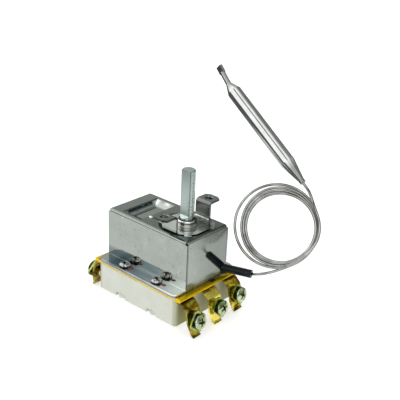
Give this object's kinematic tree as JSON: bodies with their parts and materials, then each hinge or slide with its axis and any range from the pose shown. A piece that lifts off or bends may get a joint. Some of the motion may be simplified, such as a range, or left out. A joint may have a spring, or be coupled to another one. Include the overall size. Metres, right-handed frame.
{
  "type": "capillary thermostat",
  "caption": "Capillary thermostat: folded steel housing on a ceramic switch base, screw clamp terminals, D-shaped control shaft, mounting bracket and a coiled capillary with a sensing bulb.",
  "frame": {"origin": "middle of the housing in plan, at the level of the terminals' lower ends", "axes": "+Z along the control shaft, away from the switch base; +X along the housing towards the capillary's outlet; +Y away from the shaft's flat"},
  "size_m": [0.092, 0.06, 0.1009],
  "materials": {
    "zinc_steel": "zinc plated, softly mirroring, lightly stained",
    "plain_steel": "zinc plated, dull",
    "frame_steel": "zinc plated, dark and dull inside",
    "yellow_steel": "yellow passivated zinc, glossy",
    "mica": "mica sheet, matte",
    "ceramic": "unglazed steatite, smooth",
    "brass": "brass, lightly tarnished",
    "iridescent_steel": "iridescent yellow green passivated zinc",
    "silver": "silver contact metal",
    "stainless": "bright drawn stainless steel",
    "black_sleeve": "black insulating sleeve, glossy"
  },
  "bodies": {
    "housing": {"housing_cover": "zinc_steel", "inner_frame": "frame_steel", "insulating_sheet": "mica", "base_plate": "yellow_steel", "ceramic_base": "ceramic", "mounting_bracket": "zinc_steel", "shaft_bush": "plain_steel", "top_rivet": "zinc_steel", "cover_screw_1": "zinc_steel", "cover_screw_2": "zinc_steel", "cover_screw_3": "zinc_steel", "cover_screw_4": "zinc_steel", "cover_nut_1": "plain_steel", "cover_nut_2": "plain_steel", "cover_nut_3": "plain_steel", "cover_nut_4": "plain_steel", "terminal_r1": "brass", "terminal_r2": "brass", "terminal_r3": "brass", "terminal_l1": "brass", "terminal_l2": "brass", "terminal_l3": "brass", "fixed_contact_1": "silver", "fixed_contact_2": "silver", "fixed_contact_3": "silver", "lever_pin": "zinc_steel", "threaded_bridge": "zinc_steel", "capillary_sleeve": "black_sleeve", "capillary_lead": "stainless", "capillary_coil": "stainless", "capillary_tail": "stainless", "sensing_bulb": "stainless"},
    "shaft": {"control_shaft": "zinc_steel", "retaining_clip": "plain_steel"},
    "adjuster": {"adjusting_screw": "brass"},
    "capsule": {"diaphragm_capsule": "stainless", "capillary_pigtail": "stainless"},
    "lever": {"transfer_lever": "plain_steel"},
    "push_bar": {"push_bar": "ceramic"},
    "contact_arms": {"contact_arm_1": "brass", "contact_arm_2": "brass", "contact_arm_3": "brass", "moving_contact_1": "silver", "moving_contact_2": "silver", "moving_contact_3": "silver"},
    "clamp_r1": {"clamp_washer_r1": "iridescent_steel", "terminal_screw_r1": "iridescent_steel"},
    "clamp_r2": {"clamp_washer_r2": "iridescent_steel", "terminal_screw_r2": "iridescent_steel"},
    "clamp_r3": {"clamp_washer_r3": "iridescent_steel", "terminal_screw_r3": "iridescent_steel"},
    "clamp_l1": {"clamp_washer_l1": "iridescent_steel", "terminal_screw_l1": "iridescent_steel"},
    "clamp_l2": {"clamp_washer_l2": "iridescent_steel", "terminal_screw_l2": "iridescent_steel"},
    "clamp_l3": {"clamp_washer_l3": "iridescent_steel", "terminal_screw_l3": "iridescent_steel"}
  },
  "joints": [
    {"name": "shaft_turn", "type": "hinge", "parent": "housing", "child": "shaft", "pos_m": [0.0113, 0, 0.03661], "axis": [0, 0, 1], "range_deg": [-300, 0]},
    {"name": "adjuster_rise", "type": "slide", "parent": "shaft", "child": "adjuster", "axis": [0, 0, 1], "range_m": [0, 0.00088]},
    {"name": "capsule_rise", "type": "slide", "parent": "housing", "child": "capsule", "axis": [0, 0, 1], "range_m": [0, 0.00088], "deforming": ["capillary_pigtail"]},
    {"name": "lever_tilt", "type": "hinge", "parent": "housing", "child": "lever", "pos_m": [0.0169, 0, 0.02148], "axis": [0, -1, 0], "range_deg": [0, 0.77], "stiffness_Nm_per_rad": 0.1, "springref_deg": -1.15},
    {"name": "push_bar_drop", "type": "slide", "parent": "housing", "child": "push_bar", "axis": [0, 0, -1], "range_m": [0, 0.00029]},
    {"name": "contacts_open", "type": "hinge", "parent": "housing", "child": "contact_arms", "pos_m": [-0.014, 0, 0.01261], "axis": [0, 1, 0], "range_deg": [0, 1.62]},
    {"name": "clamp_r1_travel", "type": "slide", "parent": "housing", "child": "clamp_r1", "axis": [0.9816, 0, 0.1908], "range_m": [-0.0014, 0.0015]},
    {"name": "clamp_r2_travel", "type": "slide", "parent": "housing", "child": "clamp_r2", "axis": [0.9816, 0, 0.1908], "range_m": [-0.0021, 0.0015]},
    {"name": "clamp_r3_travel", "type": "slide", "parent": "housing", "child": "clamp_r3", "axis": [0.9816, 0, 0.1908], "range_m": [-0.0013, 0.0015]},
    {"name": "clamp_l1_travel", "type": "slide", "parent": "housing", "child": "clamp_l1", "axis": [-0.9816, 0, 0.1908], "range_m": [-0.0014, 0.0015]},
    {"name": "clamp_l2_travel", "type": "slide", "parent": "housing", "child": "clamp_l2", "axis": [-0.9816, 0, 0.1908], "range_m": [-0.0021, 0.0015]},
    {"name": "clamp_l3_travel", "type": "slide", "parent": "housing", "child": "clamp_l3", "axis": [-0.9816, 0, 0.1908], "range_m": [-0.0013, 0.0015]}
  ],
  "couplings": [
    {"joint": "adjuster_rise", "follows": "shaft_turn", "m_per_rad": -0.00015915},
    {"joint": "capsule_rise", "follows": "shaft_turn", "m_per_rad": -0.00015915},
    {"joint": "push_bar_drop", "follows": "lever_tilt", "m_per_rad": 0.0209},
    {"joint": "contacts_open", "follows": "lever_tilt", "ratio": 2.09}
  ]
}
